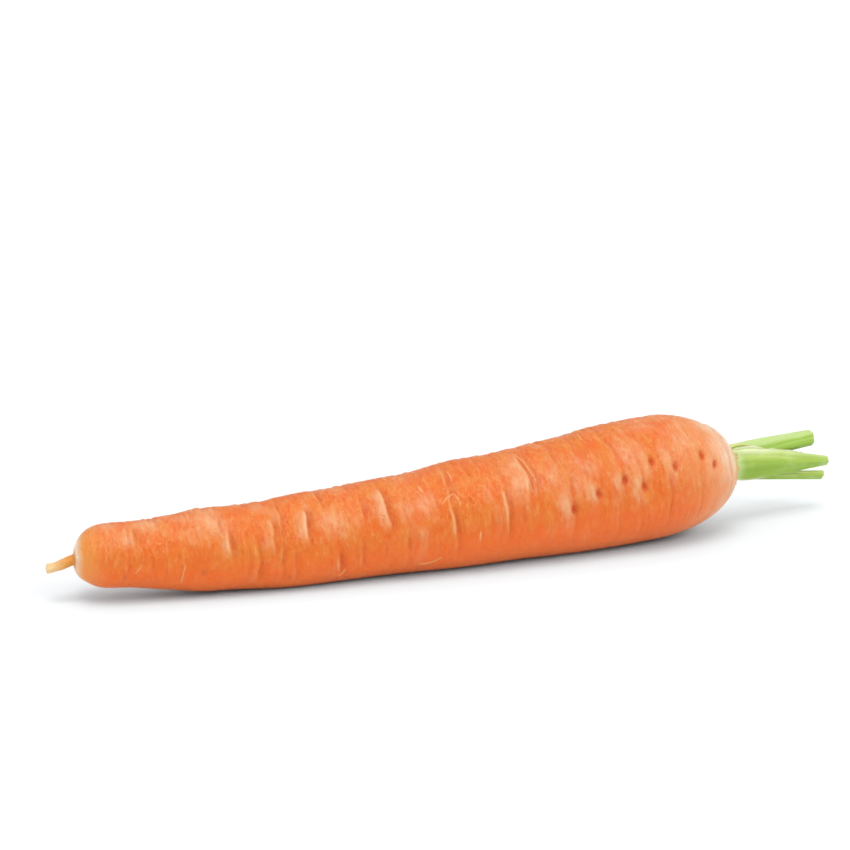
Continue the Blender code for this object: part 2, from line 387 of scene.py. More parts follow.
# %% Formulas of the leaf stalks
DOME_END_RADIUS = 0.0066
COLLAR_RADIUS = 0.0064
COLLAR_HEIGHT = 0.0005
SEAT_DEPTH = 0.0012
STALK_GAP = 0.00035
STALK_RIBS = 6
RIB_SHARE = 0.05
SOLID_RINGS = 9
SOLID_SIDES = 25
STALKS = {
    "petiole_middle": dict(
        base=(0.0025, 0.0014), end=(0.0016, -0.0013), length=0.0342,
        base_size=(0.0030, 0.0060), end_size=(0.0026, 0.0026), sheath=0.0036,
        facing=0, channel=0.7, cut=0.05),
    "petiole_upper": dict(
        base=(-0.0018, 0.0028), end=(-0.0027, 0.0045), length=0.0313,
        base_size=(0.0026, 0.0034), end_size=(0.0042, 0.0046), sheath=0.0022,
        facing=50, channel=0.6, cut=0.05),
    "petiole_lower": dict(
        base=(-0.0018, -0.0026), end=(-0.0002, -0.0058), length=0.0338,
        base_size=(0.0026, 0.0036), end_size=(0.0028, 0.0036), sheath=0.0,
        facing=-60, channel=0.6, cut=0.15),
    "petiole_back": dict(
        base=(-0.0041, -0.0011), end=(-0.0048, -0.0008), length=0.0300,
        base_size=(0.0012, 0.0020), end_size=(0.0011, 0.0018), sheath=0.0,
        facing=180, channel=0.3, cut=0.40),
    "petiole_stub": dict(
        base=(0.0004, 0.0051), end=(0.0004, 0.0058), length=0.0094,
        base_size=(0.0009, 0.0018), end_size=(0.0007, 0.0012), sheath=0.0,
        facing=95, channel=0.3, cut=0.30),
}
dome_share = (1 - (DOME_END_RADIUS / CROWN_RADIUS) ** 2) ** (1 / SHOULDER_ROUNDNESS)
DOME_END = ROOT_LENGTH - SHOULDER_LENGTH * (1 - dome_share)
SEAT_FLOOR = DOME_END + COLLAR_HEIGHT - SEAT_DEPTH
SEAT = axis_frame(np.array(SEAT_FLOOR))


def stalk_point(stalk, share, angle, shrink=1.0, ribs=0.0, sink=0.0):
    """Points of a stalk, drawn in to its middle by shrink, with extra ribs, sunk at its cut."""
    centre, forward, front, up = SEAT
    share = np.asarray(share)[..., None]
    angle = np.asarray(angle)[..., None]
    shrink, ribs, sink = [np.asarray(part)[..., None] for part in (shrink, ribs, sink)]
    thickness, width = [first + (last - first) * share
                        for first, last in zip(stalk["base_size"], stalk["end_size"])]
    width = width + stalk["sheath"] * np.sin(np.pi * np.sqrt(share))
    rib = 1 + RIB_SHARE * np.cos(STALK_RIBS * angle) * smooth(np.cos(angle) + 0.6) + ribs
    outward = 0.5 * thickness * np.cos(angle) * rib
    hollow = 1 - stalk["channel"] * share * np.cos(angle) ** 2
    outward = shrink * np.where(outward < 0, outward * hollow, outward)
    sideways = shrink * 0.5 * width * np.sin(angle) * rib
    facing = radians(stalk["facing"])
    off_front = outward * cos(facing) - sideways * sin(facing)
    off_up = outward * sin(facing) + sideways * cos(facing)
    from_front, from_up = [first + (last - first) * share
                           for first, last in zip(stalk["base"], stalk["end"])]
    reach = STALK_GAP + (stalk["length"] - STALK_GAP) * share
    reach = reach + stalk["cut"] * share ** 2 * off_up - sink
    return centre + (from_front + off_front) * front + (from_up + off_up) * up + reach * forward


coarse = stalk_point(STALKS["petiole_middle"], *np.meshgrid(
    np.linspace(0, 1, SOLID_RINGS), np.linspace(0, 2 * np.pi, SOLID_SIDES)))
SHIFT = np.array(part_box("petiole_middle")[0]) - coarse.reshape(-1, 3).min(axis=0)
SHIFT[2] = 0.0
print("moved by", [round(1000 * float(part), 2) for part in SHIFT], "mm")

# %% [markdown]
# ## Creases and pits
#
# A root thickens in fits and starts, and each stop leaves a short crease across it, with a small
# lip on the side of the tip. Where side roots grew there are shallow pits, in rows along the
# root and closer together near the crown. The deepest ones lie where the solid has them, and
# fainter and hair-fine ones are drawn by a seeded rule. Some places of the skin get pale patches
# of painted sheen, which stand in for highlights. A crease is given by its place along the root,
# the angle round it, its reach to each side in degrees, its depth and its width.

# %% Lists of creases and pits
CREASES = (
    (0.0150, 45, 32, 0.00050),
    (0.0395, 26, 28, 0.00045),
    (0.0465, -15, 50, 0.00035),
    (0.0510, 28, 28, 0.00050),
    (0.0603, 36, 30, 0.00065),
    (0.0680, -25, 28, 0.00035),
    (0.0755, 42, 28, 0.00055),
    (0.0820, 42, 36, 0.00055),
    (0.1000, 25, 70, 0.00040),
    (0.1140, 25, 55, 0.00040),
    (0.1215, 50, 40, 0.00045),
    (0.1822, 60, 150, 0.00030),
    (0.1858, 200, 160, 0.00035),
)
MAIN_DEEPENED = 1.3
MAIN_WIDTH = 0.0009
FAINT_CREASES = 56
FAINT_DEPTH = 0.00038
FAINT_WIDTH = 0.0007
CALM_START = 0.125
CALM_SHARE = 0.6
HAIR_CREASES = 260
CREASE_START = 0.012
CREASE_END = 0.176
HAIR_END = 0.182

PITS = (
    (0.1320, 2),
    (0.1398, 14),
    (0.1479, 22),
    (0.1533, 12),
    (0.1567, 34),
    (0.1628, 24),
    (0.1716, 32),
    (0.1755, 22),
)
PIT_ROWS = (112, 202)
PIT_ROW_START = 0.045
PIT_SWAY = 14
PIT_STEP = 0.016
PIT_CROWDING = 0.055

# A painted sheen patch's place along the root, angle round it, length, reach in degrees and
# strength
SHEEN_ZONES = (
    (0.0060, 75, 0.0045, 45, 0.85),
    (0.0200, 78, 0.0080, 22, 0.65),
    (0.0340, 60, 0.0060, 30, 0.75),
    (0.0665, 32, 0.0035, 16, 0.80),
    (0.0865, 30, 0.0022, 15, 0.55),
    (0.0915, 34, 0.0026, 16, 0.65),
    (0.1185, 42, 0.0045, 22, 0.75),
    (0.1280, 42, 0.0035, 18, 0.40),
    (0.1385, 34, 0.0030, 20, 0.60),
    (0.1505, 42, 0.0035, 22, 0.65),
    (0.1670, 46, 0.0050, 26, 0.60),
)
MORE_ZONES = 26

draw = random.Random(11)
creases = [(along, turn, reach, MAIN_DEEPENED * depth, MAIN_WIDTH)
           for along, turn, reach, depth in CREASES]
step = (CREASE_END - CREASE_START) / FAINT_CREASES
for number in range(FAINT_CREASES):
    along = CREASE_START + step * (number + draw.random())
    turn = draw.uniform(-180, 180)
    reach = draw.uniform(25, 75)
    depth = FAINT_DEPTH * draw.uniform(0.6, 1.2) * (1.0 if along < CALM_START else CALM_SHARE)
    creases.append((along, turn, reach, depth, FAINT_WIDTH))

pits = [(along, turn, 1.0) for along, turn in PITS]
for row in PIT_ROWS:
    along = PIT_ROW_START
    while along < CREASE_END:
        pits.append((along, row + draw.uniform(-PIT_SWAY, PIT_SWAY), draw.uniform(0.45, 1.0)))
        along += draw.uniform(0.7, 1.3) * (PIT_STEP - PIT_CROWDING * along)

for number in range(HAIR_CREASES):
    along = draw.uniform(CREASE_START, HAIR_END)
    creases.append((along, draw.uniform(-180, 180), draw.uniform(8, 34),
                    draw.uniform(0.00006, 0.00018), draw.uniform(0.00035, 0.0006)))
zones = list(SHEEN_ZONES)
for number in range(MORE_ZONES):
    zones.append((draw.uniform(CREASE_START, CREASE_END), draw.uniform(70, 240),
                  draw.uniform(0.0022, 0.0050), draw.uniform(14, 26), draw.uniform(0.2, 0.55)))
print(len(creases), "creases,", len(pits), "pits and", len(zones), "pale patches")

# %% [markdown]
# ## Slow relief and noise
#
# Between its creases the skin isn't smooth: it has slow lumps, low waves and fine wrinkles, which
# are weaker below, and close to the crown it is drawn into folds. The lumps are sine waves, and
# the rest is noise. It is read in straightened coordinates, so the grain follows the root round
# its bow, and each noise has its own size along and across. The tops of the waves on the upper
# side also get a pale painted sheen, a painted highlight.

# %% Noise and slow relief
LUMP_HEIGHT = 0.00014
LUMP_LENGTH = 0.037
DENT_HEIGHT = 0.00016
DENT_SIZE = (0.0085, 0.0085)
PATCH_SIZE = (0.016, 0.011)
WAVE_HEIGHT = 0.00020
WAVE_SIZE = (0.0034, 0.0110)
WRINKLE_HEIGHT = 0.00014
WRINKLE_SIZE = (0.0011, 0.0032)
FOLD_HEIGHT = 0.00050
FOLD_SIZE = (0.0050, 0.0015)
FOLD_RING = 0.006
FOLD_START = 0.176
FOLD_RAMP = 0.005
SHEEN_SHARE = 0.6


def straightened(along, angle, radius):
    """Places on the root as if it were straight, for noise that follows it."""
    return np.stack([along, radius * np.cos(angle), radius * np.sin(angle)], axis=-1)


def soft_noise(places, size, seed):
    """Smooth noise, about -1 to 1, with lumps of a size given along and across."""
    scaled = places / np.array((size[0], size[1], size[1])) + (seed * 7.3, seed * 3.1, seed * 5.7)
    return np.array([noise.noise(spot) for spot in scaled.tolist()])


def slow_relief(along, angle, places, upper):
    """Height of lumps, waves, wrinkles and folds, and the painted sheen on the tops of the waves.
    """
    height = LUMP_HEIGHT * np.sin(2 * np.pi * along / LUMP_LENGTH + angle)
    height += LUMP_HEIGHT * np.sin(2 * np.pi * along / (0.6 * LUMP_LENGTH) - 2 * angle + 1)
    height += DENT_HEIGHT * soft_noise(places, DENT_SIZE, 1)
    patches = smooth(1.4 * soft_noise(places, PATCH_SIZE, 2) + 0.5)
    waves = soft_noise(places, WAVE_SIZE, 11)
    height += WAVE_HEIGHT * upper * waves
    height += WRINKLE_HEIGHT * upper * (0.4 + patches) * soft_noise(places, WRINKLE_SIZE, 3)
    folds = soft_noise(straightened(along, angle, FOLD_RING), FOLD_SIZE, 13)
    height += FOLD_HEIGHT * smooth((along - FOLD_START) / FOLD_RAMP) * folds
    return height, SHEEN_SHARE * upper * smooth((waves + 0.5 * patches - 0.45) / 0.7)


print("slow relief ready")

# %% [markdown]
# ## Relief of creases and pits
#
# A crease is steep on its lip side and runs out slowly on the other. A pit is a round hole with a
# narrow slit in it and a swelling beside it. All are smooth humps, turned down for a groove and
# up for a lip, so they blend into the skin without an edge. Beside the deepest creases and each
# pit a pale patch of painted sheen is laid, a painted highlight. What is cut also leaves a mask on
# the mesh, so the finish can paint shade into the grooves and pits and highlights on the lips.

# %% Relief of creases and pits
LIP_SIDE_WIDTH = 0.55
CROWN_SIDE_WIDTH = 1.3
FULL_DEPTH = 0.0005
HALO_DEPTH = 0.00055
PIT_DEPTH = 0.00075
PIT_LENGTH = 0.0012
PIT_WIDTH = 0.0020
PIT_REACH = 0.005


def hump(off, width):
    """A smooth hump, 1 in its middle."""
    return np.exp(-(off / width) ** 2)


def lift(layer, near, values):
    """Raise a mask to other values where they are higher."""
    layer[near] = np.maximum(layer[near], values)


def cut_creases(layers, along, wander, turned, uneven, upper):
    """Cut the creases into the relief and its masks."""
    for middle, turn, reach, depth, width in creases:
        near = np.abs(along - middle) < 5 * width
        fade = clamp(1 - (turn_between(turned[near], turn) / reach) ** 2) * uneven[near]
        off = (along[near] + wander[near] - middle) / width
        dip = hump(off, np.where(off < 0, LIP_SIDE_WIDTH, CROWN_SIDE_WIDTH))
        rise = hump(off + 1.3, 0.75)
        strength = depth / FULL_DEPTH * fade
        # masks for painted shade in the groove, a painted highlight on the lip and painted sheen
        # beside it
        layers["height"][near] += depth * fade * (0.5 * rise - dip)
        lift(layers["groove_shade"], near, strength * dip)
        lift(layers["lip_highlight"], near, 0.7 * strength * rise)
        if depth > HALO_DEPTH:
            lift(layers["painted_sheen"], near, 0.8 * fade ** 2 * hump(off + 2.3, 1.6) * upper[near])


def press_pits(layers, along, wander, turned, uneven):
    """Press the pits into the relief and its masks."""
    for middle, turn, size in pits:
        near = np.abs(along - middle) < PIT_REACH
        across = np.radians(turn_between(turned[near], turn)) * taper(along[near]) / size
        off = (along[near] + wander[near] - middle) / (size * PIT_LENGTH)
        hole = hump(off, 1.0) * hump(across, PIT_WIDTH)
        slit = hump(off, 0.4) * hump(across, 0.65 * PIT_WIDTH)
        rise = hump(off + 1.6, 0.9) * hump(across - 0.0008, 1.4 * PIT_WIDTH)
        halo = hump(off + 1.7, 1.4) * hump(across - 0.0014, 2.2 * PIT_WIDTH)
        # painted shade in the hole, painted highlight on the swelling and painted sheen beside it
        layers["height"][near] += size * PIT_DEPTH * (0.4 * rise - 0.8 * hole - 0.6 * slit)
        lift(layers["pit_shade"], near, size * smooth((hole - 0.40) / 0.5))
        lift(layers["lip_highlight"], near, 0.5 * size * rise)
        lift(layers["painted_sheen"], near, size * uneven[near] * halo)


print("creases and pits ready")

# %% [markdown]
# ## The whole relief
#
# Each crease wanders a little and fades out unevenly, so no two look alike. The underside stays
# smooth where the root rests, and the relief dies out at both ends, while the thin tail gets
# knobs of its own. Rootlets have to lie on the finished skin, so one function also gives any
# place on it.

# %% Whole relief of the skin
WANDER = 0.0008
WANDER_SIZE = (0.012, 0.0060)
UNEVEN_SIZE = (0.005, 0.0045)
REST_ANGLE = 70
REST_FADE = 30
TIP_FADE = 0.014
RIM_FADE = 0.004
KNOB_HEIGHT = 0.00028
KNOB_SIZE = (0.0015, 0.0013)
KNOB_RAMP = 0.0015


def relief(along, angle):
    """Height of the skin over the smooth root, and masks of painted shade in grooves and pits,
    painted highlight on lips, and painted sheen.
    """
    turned = np.degrees(angle)
    places = straightened(along, angle, root_radius(along))
    upper = 0.35 + 0.65 * smooth((np.sin(angle) + 0.15) / 0.5)
    wander = WANDER * soft_noise(places, WANDER_SIZE, 4)
    uneven = clamp(0.85 + 1.1 * soft_noise(places, UNEVEN_SIZE, 5))
    layers = {name: np.zeros_like(along) for name in ("groove_shade", "lip_highlight", "pit_shade")}
    layers["height"], layers["painted_sheen"] = slow_relief(along, angle, places, upper)
    cut_creases(layers, along, wander, turned, uneven, upper)
    press_pits(layers, along, wander, turned, uneven)
    # pale patches of painted sheen, a painted highlight
    for middle, turn, length, reach, strength in zones:
        spread = hump(along - middle + wander, length) * hump(turn_between(turned, turn), reach)
        layers["painted_sheen"] = np.maximum(layers["painted_sheen"], strength * uneven * spread)
    underside = smooth((REST_ANGLE - np.abs(turn_between(turned, -90))) / REST_FADE)
    ends = smooth(along / TIP_FADE) * smooth((DOME_END - along) / RIM_FADE)
    layers = {name: values * ends * (1 - underside) for name, values in layers.items()}
    layers["height"] += KNOB_HEIGHT * smooth(-along / KNOB_RAMP) * soft_noise(places, KNOB_SIZE, 12)
    return layers


def skin_point(along, angle, over):
    """Points a little over the finished skin, or under it."""
    centre, forward, front, up = axis_frame(along)
    radius = (root_radius(along) + relief(along, angle)["height"] + over)[:, None]
    points = centre + radius * (np.cos(angle)[:, None] * front + np.sin(angle)[:, None] * up)
    return points + SHIFT


print("relief ready")

# %% [markdown]
# ## Rolling a grid into a closed piece
#
# Root, stalks and rootlets are all tubes, so one helper makes them. It takes Blender's flat grid,
# asks a formula for the place of each of its points, and writes the masks into layers of the
# mesh. Where a tube ends, its last ring shrinks to one point, so merging the doubles closes both
# the seam and the ends. A second helper turns the result into an object that rides with the
# carrot's body.

# %% Helpers that make pieces
MERGE_DISTANCE = 1e-6


def roll_up(mesh, rings, sides, form):
    """Add a tube. form takes ring numbers and angles, and gives points, coordinates and masks."""
    made = bmesh.ops.create_grid(mesh, x_segments=rings, y_segments=sides, size=1)["verts"]
    flat = np.array([vert.co[:2] for vert in made])
    ring = np.rint((flat[:, 0] + 1) / 2 * rings).astype(int)
    points, vectors, masks = form(ring, (flat[:, 1] + 1) * np.pi)
    layers = mesh.verts.layers
    grown = layers.float_vector.get("grown") or layers.float_vector.new("grown")
    kept = [layers.float.get(name) or layers.float.new(name) for name in masks]
    made = list(mesh.verts)[-len(flat):]
    for vert, point, vector in zip(made, points.tolist(), vectors.tolist()):
        vert.co = point
        vert[grown] = vector
    for layer, values in zip(kept, masks.values()):
        for vert, value in zip(made, values.tolist()):
            vert[layer] = value


def finish(name, mesh, material, node=None):
    """Close a mesh and make it a shaded object of the carrot."""
    bmesh.ops.remove_doubles(mesh, verts=mesh.verts, dist=MERGE_DISTANCE)
    bmesh.ops.recalc_face_normals(mesh, faces=mesh.faces)
    data = bpy.data.meshes.new(name)
    mesh.to_mesh(data)
    mesh.free()
    data.shade_smooth()
    data.materials.append(material)
    piece = bpy.data.objects.new(name, data)
    bpy.context.collection.objects.link(piece)
    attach(piece, "root")
    if node:
        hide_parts(node)
    print(name, "has", len(data.polygons), "faces")


print("makers ready")

# %% [markdown]
# ## A finish for fresh skin
#
# Carrot skin is thin, moist and slightly see-through, so its colour is never even: warm orange
# with lighter flecks that lie across the root, paler at the crown's shoulder and at the tip, and
# yellow at the tail. The cream at the shoulder's rim and at the very tip is partly painted rim
# light, laid more on the upper side. The colours are laid over each other like glazes, each by its
# own mask. The flecks break up pale patches of painted sheen, fine pale lines run like a web over
# the upper side, and the lower flank is painted a brighter, deeper orange that stands in for light
# bounced up from the table. The masks from the relief paint shade into the pits and creases and
# paint highlights on the lips. A little light is let under the surface, and the shine is satin,
# uneven like the skin. Light that bounces off the skin on to the table counts as almost grey, as
# in a studio where white cards are held beside the food, so the shadow stays neutral.

# %% Build the skin's material
ORANGE = colour(234, 106, 6)
DEEP_ORANGE = colour(224, 90, 2)
LIGHT_ORANGE = colour(233, 126, 32)
FLECK_PEACH = colour(240, 162, 92)
LIP_HIGHLIGHT_CREAM = colour(248, 198, 156)
SHEEN_PEACH = colour(242, 188, 146)
BOUNCE_LIT_ORANGE = colour(255, 108, 0)
SHOULDER_ORANGE = colour(244, 164, 104)
SHOULDER_CREAM = colour(250, 222, 192)
TIP_YELLOW = colour(245, 164, 76)
TIP_CREAM = colour(255, 240, 216)
TAIL_YELLOW = colour(228, 150, 52)
TAIL_CREAM = colour(246, 208, 150)
GROOVE_SHADE_ORANGE = colour(208, 74, 0)
PIT_SHADE_ORANGE = colour(214, 74, 6)
BOUNCE_GREY = colour(188, 188, 188)
SPOT_BROWN = colour(158, 78, 34)
CROWN_TAN = colour(232, 166, 84)
CROWN_GREEN = colour(198, 178, 96)
HEART_GREEN = colour(222, 214, 152)

skin_finish, tree, shader = new_material("carrot_skin_fresh")
mottle = stretched_noise(tree, (230, 150, 150), 4.0, 0.6)
flecks = stretched_noise(tree, (900, 380, 380), 4.0, 0.65)
grain = stretched_noise(tree, (1700, 1200, 1200), 3.0, 0.6)
web = stretched_noise(tree, (620, 340, 340), 2.0, 0.5)
hairs = times(tree, between(tree, web, 0.45, 0.495), between(tree, web, 0.55, 0.505))
broken_sheen = place(tree, "MapRange", {"Value": flecks, "From Min": 0.35, "From Max": 0.65,
                                  "To Max": mask(tree, "painted_sheen")}).outputs[0]
weathered = mix(tree, between(tree, mottle, 0.4, 0.65), CROWN_TAN, CROWN_GREEN)
bounced = place(tree, "LightPath").outputs["Is Diffuse Ray"]
tone = mix(tree, between(tree, mottle, 0.35, 0.7), ORANGE, LIGHT_ORANGE)
tone = paint_over(tree, tone, (
    (times(tree, between(tree, flecks, 0.5, 0.7), 0.45), FLECK_PEACH),
    (times(tree, between(tree, flecks, 0.45, 0.28), 0.6), DEEP_ORANGE),
    # painted bounce light: the lower flank a brighter, deeper orange, as if lit from the table
    (mask(tree, "bounce_lit_flank"), BOUNCE_LIT_ORANGE),
    # painted sheen: pale patches that stand in for highlights, broken up by the flecks
    (times(tree, broken_sheen, 0.8), SHEEN_PEACH),
    (times(tree, mask(tree, "painted_sheen"), 0.4), SHEEN_PEACH),
    (times(tree, hairs, times(tree, mask(tree, "webbed"), 0.42)), FLECK_PEACH),
    (mask(tree, "shoulder"), SHOULDER_ORANGE),
    # the shoulder's cream rim, partly its own colour and partly painted rim light on the upper side
    (mask(tree, "brim"), SHOULDER_CREAM),
    (mask(tree, "crown"), weathered),
    (mask(tree, "tip"), TIP_YELLOW),
    # the tip's cream, partly its own colour and partly painted rim light on the upper side
    (mask(tree, "cap"), TIP_CREAM),
    (between(tree, mask(tree, "tail"), 0.0, 0.2), TAIL_YELLOW),
    (between(tree, mask(tree, "tail"), 0.2, 1.0), TAIL_CREAM),
    # painted highlight: the lips paler, cream on the strongest
    (times(tree, mask(tree, "lip_highlight"), 0.6), FLECK_PEACH),
    (times(tree, between(tree, mask(tree, "lip_highlight"), 0.3, 0.9), 0.6), LIP_HIGHLIGHT_CREAM),
    # painted shade in the creases' grooves
    (times(tree, mask(tree, "groove_shade"), 0.55), GROOVE_SHADE_ORANGE),
    # painted shade in the pits' hollows
    (times(tree, mask(tree, "pit_shade"), 0.9), PIT_SHADE_ORANGE),
    (mask(tree, "spot"), SPOT_BROWN),
    (mask(tree, "heart"), HEART_GREEN),
    (times(tree, bounced, 0.85), BOUNCE_GREY),
))
shine = place(tree, "MapRange", {"Value": mottle, "To Min": 0.24, "To Max": 0.44}).outputs[0]
swell = bump(tree, flecks, 0.9, 0.0008)
fill(tree, shader, {
    "Base Color": tone, "Roughness": shine, "Normal": bump(tree, grain, 0.8, 0.0003, Normal=swell),
    "Specular IOR Level": 0.42, "Subsurface Weight": 0.10, "Subsurface Scale": 0.003,
    "Subsurface Radius": (1.0, 0.35, 0.12),
})
print("skin finish has", len(tree.nodes), "nodes")

# %% [markdown]
# ## Masks for the skin's colours
#
# Some colours change along the root, others between its upper side and its lower flank: the
# upper side gets more of the cream rims as painted rim light, and the lower flank gets painted
# bounce light. A mask for each is worked out from the same formulas as the form. The borders
# wander with a soft noise, because no colour on a root ends in a straight ring. A border is given
# by where it starts along the root, how far it wanders and how wide its blend is, and those of
# the tip count backwards.

# %% Masks for the skin's colours
BLOTCH_SIZE = (0.005, 0.004)
WEB_PATCH_SIZE = (0.02, 0.01)
SHOULDER_BORDER = (0.156, 0.010, 0.022)
BRIM_BORDER = (0.171, 0.005, 0.011)
CROWN_BORDER = (0.1835, 0.0015, 0.0030)
TIP_BORDER = (-0.0100, 0.003, 0.009)
CAP_BORDER = (-0.0030, 0.0014, 0.0030)
TAIL_START = 0.0004
SPOT_STRENGTH = 0.4
BROWN_SPOTS = ((0.0121, -26, 0.0006), (0.0319, -17, 0.0007), (0.0544, -34, 0.0005),
               (0.0698, -51, 0.0006), (0.1105, -62, 0.0006), (0.0835, 150, 0.0007))


def past(along, border, blotch):
    """How far a place lies past a colour's border, eased."""
    start, wander, blend = border
    return smooth((along - start - wander * blotch) / blend)


def colour_masks(along, angle, places):
    """Masks of the skin's colours."""
    top = np.sin(angle)
    blotch = 0.5 + 0.5 * soft_noise(places, BLOTCH_SIZE, 7)
    webs = smooth(1.5 * soft_noise(places, WEB_PATCH_SIZE, 15) + 0.6)
    # painted rim light: the upper side gets a little more of the shoulder's colour and more of the
    # cream at the shoulder's rim and the tip
    lit_upper_side = 0.3 + 0.65 * smooth((top + 0.1) / 0.6)
    spot = np.zeros_like(along)
    for middle, turn, size in BROWN_SPOTS:
        across = np.radians(turn_between(np.degrees(angle), turn)) * taper(along)
        spot = np.maximum(spot, np.exp(-((along - middle) ** 2 + 0.4 * across ** 2) / size ** 2))
    return {
        "spot": SPOT_STRENGTH * spot,
        "webbed": smooth((top + 0.1) / 0.6) * webs,
        # painted bounce light: the lower flank is painted a brighter, deeper orange
        "bounce_lit_flank": 0.7 * smooth((0.15 - top) / 0.6),
        "shoulder": (0.7 + 0.1 * lit_upper_side) * past(along, SHOULDER_BORDER, blotch),
        "brim": lit_upper_side * past(along, BRIM_BORDER, blotch),
        "crown": 0.9 * past(along, CROWN_BORDER, blotch),
        "tip": 0.8 * past(-along, TIP_BORDER, blotch),
        "cap": (0.5 + 0.5 * lit_upper_side) * past(-along, CAP_BORDER, blotch) * smooth(along / TAIL_START),
        "tail": clamp((TAIL_START - along) / TAIL_LENGTH),
    }


print("colour masks ready")

# %% [markdown]
# ## The root's skin
#
# The skin could be the solid with a displacement map, but a map shows only in some viewers, so
# the creases are cut into the mesh itself. Rings lie close together along the body, closer at
# the tip, the shoulder and the collar, where the form turns fast. Inside the collar the rings
# run on to the middle as a low wrinkled mound, the crown's heart, out of which the stalks grow.
# Where the root would sink below the surface it is pressed flat.

# %% Grow the root
ROOT_SIDES = 140
TAIL_RINGS = 30
TIP_RINGS = 42
BODY_RINGS = 560
BULGE_RINGS = 44
BULGE_SHARE = 0.55
TAIL_ROUNDED = 0.07
# The collar's rings, as shares of its height and its radius
COLLAR_RINGS = ((0.15, 1.005), (0.35, 1.01), (0.65, 1.0), (0.9, 0.975),
                (1.0, 0.94), (0.9, 0.90), (0.5, 0.875))
HEART_RINGS = 22
HEART_EDGE = 0.86
HEART_DROP = 0.0004
HEART_RISE = 0.0017
HEART_LUMPS = 0.0003
HEART_LUMP_SIZE = (0.0012, 0.0012)
COLLAR_LUMP_SIZE = (0.0030, 0.0016)
COLLAR_INSIDE = 0.004

tail = -TAIL_LENGTH * np.cos(np.linspace(0, 0.5 * np.pi, TAIL_RINGS, endpoint=False)) ** 0.7
tip = TIP_LENGTH * np.linspace(0, 1, TIP_RINGS, endpoint=False) ** 1.6
bulge_start = ROOT_LENGTH - BULGE_SHARE * SHOULDER_LENGTH
body = np.linspace(TIP_LENGTH, bulge_start, BODY_RINGS, endpoint=False)
bulge = bulge_start + (DOME_END - bulge_start) * np.sin(np.linspace(0, 0.5 * np.pi, BULGE_RINGS))
outer = np.concatenate([tail, tip, body, bulge])
end_share = clamp((-outer - (1 - TAIL_ROUNDED) * TAIL_LENGTH) / (TAIL_ROUNDED * TAIL_LENGTH))
outer_radius = root_radius(outer) * np.sqrt(1 - end_share ** 2)
collar = np.array(COLLAR_RINGS)
heart_share = np.linspace(HEART_EDGE, 0, HEART_RINGS)
heart_mound = HEART_RISE * (1 - (heart_share / HEART_EDGE) ** 2) - HEART_DROP
alongs = np.concatenate([outer, DOME_END + COLLAR_HEIGHT * collar[:, 0],
                         DOME_END + COLLAR_HEIGHT + heart_mound])
radii = np.concatenate([outer_radius, COLLAR_RADIUS * collar[:, 1], COLLAR_RADIUS * heart_share])
inside = np.concatenate([np.zeros(len(outer)), np.linspace(0.2, 1, len(collar)),
                         np.ones(HEART_RINGS)])


def root_form(ring, angle):
    """Points of the skin, with the coordinates and the masks that its finish reads."""
    along, radius, heart = alongs[ring], radii[ring], inside[ring]
    on_dome = np.minimum(along, DOME_END)
    layers = relief(on_dome, angle)
    places = straightened(on_dome, angle, root_radius(on_dome))
    places[:, 0] = along
    height = np.where(heart > 0, 0, layers.pop("height"))
    lumps = HEART_LUMPS * soft_noise(places, HEART_LUMP_SIZE, 6) * heart * (radius > 0)
    rough = HEART_LUMPS * soft_noise(places, COLLAR_LUMP_SIZE, 14) * heart
    radius = radius + height + rough * (radius > COLLAR_INSIDE)
    centre, forward, front, up = axis_frame(along)
    out = np.cos(angle)[:, None] * front + np.sin(angle)[:, None] * up
    points = centre + radius[:, None] * out + lumps[:, None] * forward + SHIFT
    points[:, 2] = np.maximum(points[:, 2], 0.0)
    masks = {name: clamp(values) for name, values in layers.items()}
    return points, places, {**masks, **colour_masks(along, angle, places), "heart": heart}


mesh = bmesh.new()
roll_up(mesh, len(alongs) - 1, ROOT_SIDES, root_form)
finish("root_skin", mesh, skin_finish, "taproot")

# %% [markdown]
# ## A finish for leaf stalks
#
# A cut leaf stalk is glossy light green with paler ribs, darker furrows and fine fibres along
# it. It turns whitish towards the crown, and the freshly cut face is cream. Its upper side and
# its thin top edge are painted paler as painted light, and its underside a deeper green as
# painted shade. The stalks differ only in their greens, so one group of nodes holds the pattern
# and each stalk's material gives it two colours of its own.

# %% Build the stalks' node group and materials
STALK_CREAM = colour(218, 232, 172)
CUT_CREAM = colour(214, 224, 160)
UNDERSIDE_SHADE_GREEN = colour(132, 172, 34)
SHEATH_CREAM = colour(234, 238, 196)
DRY_BROWN = colour(168, 118, 66)
GREENS = {
    "petiole_middle": ("stalk_green", colour(196, 218, 116), colour(150, 182, 58)),
    "petiole_upper": ("stalk_pale_green", colour(168, 200, 92), colour(148, 186, 48)),
    # painted light: the lower stalk's greens are lighter, to offset the shadow the middle stalk
    # casts on it
    "petiole_lower": ("stalk_deep_green", colour(200, 220, 112), colour(166, 194, 74)),
    "petiole_back": ("stalk_yellow_green", colour(220, 222, 140), colour(190, 196, 96)),
    "petiole_stub": ("stalk_dry", colour(222, 216, 116), colour(196, 188, 86)),
}

